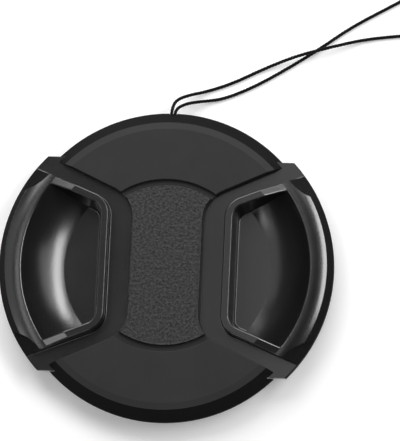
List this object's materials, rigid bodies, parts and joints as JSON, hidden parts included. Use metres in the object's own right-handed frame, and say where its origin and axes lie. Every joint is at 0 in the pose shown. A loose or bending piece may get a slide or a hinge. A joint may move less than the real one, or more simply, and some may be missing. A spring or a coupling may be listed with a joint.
{
  "type": "camera lens cap",
  "caption": "Round centre-pinch camera lens cap with sprung side tabs, coved finger recesses, a grained centre plate and a thin cord loop.",
  "frame": {"origin": "on the cap's axis, in the plane that the cap rests on with its front face up", "axes": "+Z out of the front face, +X towards the right-hand pinch tab, +Y towards the cord hole"},
  "size_m": [0.0963, 0.0922, 0.009],
  "materials": {
    "cover_plastic": "satin black moulded plastic",
    "grained_plastic": "black plastic with a fine leather grain",
    "tab_plastic": "semi-gloss black moulded plastic",
    "spring_steel": "drawn spring wire",
    "cord_nylon": "black twisted nylon"
  },
  "bodies": {
    "cap_body": {"front_cover": "cover_plastic", "centre_plate": "grained_plastic", "back_plate": "cover_plastic", "return_spring_upper": "spring_steel", "return_spring_lower": "spring_steel", "cord_loop": "cord_nylon", "cord_knot": "cord_nylon"},
    "left_tab": {"pinch_tab_left": "tab_plastic"},
    "right_tab": {"pinch_tab_right": "tab_plastic"}
  },
  "joints": [
    {"name": "left_tab_slide", "type": "slide", "parent": "cap_body", "child": "left_tab", "axis": [1, 0, 0], "range_m": [0, 0.0022], "stiffness_N_per_m": 900, "springref_m": -0.0033, "deforming": ["return_spring_upper", "return_spring_lower"]},
    {"name": "right_tab_slide", "type": "slide", "parent": "cap_body", "child": "right_tab", "axis": [-1, 0, 0], "range_m": [0, 0.0022], "stiffness_N_per_m": 900, "springref_m": -0.0033, "deforming": ["return_spring_upper", "return_spring_lower"]}
  ]
}
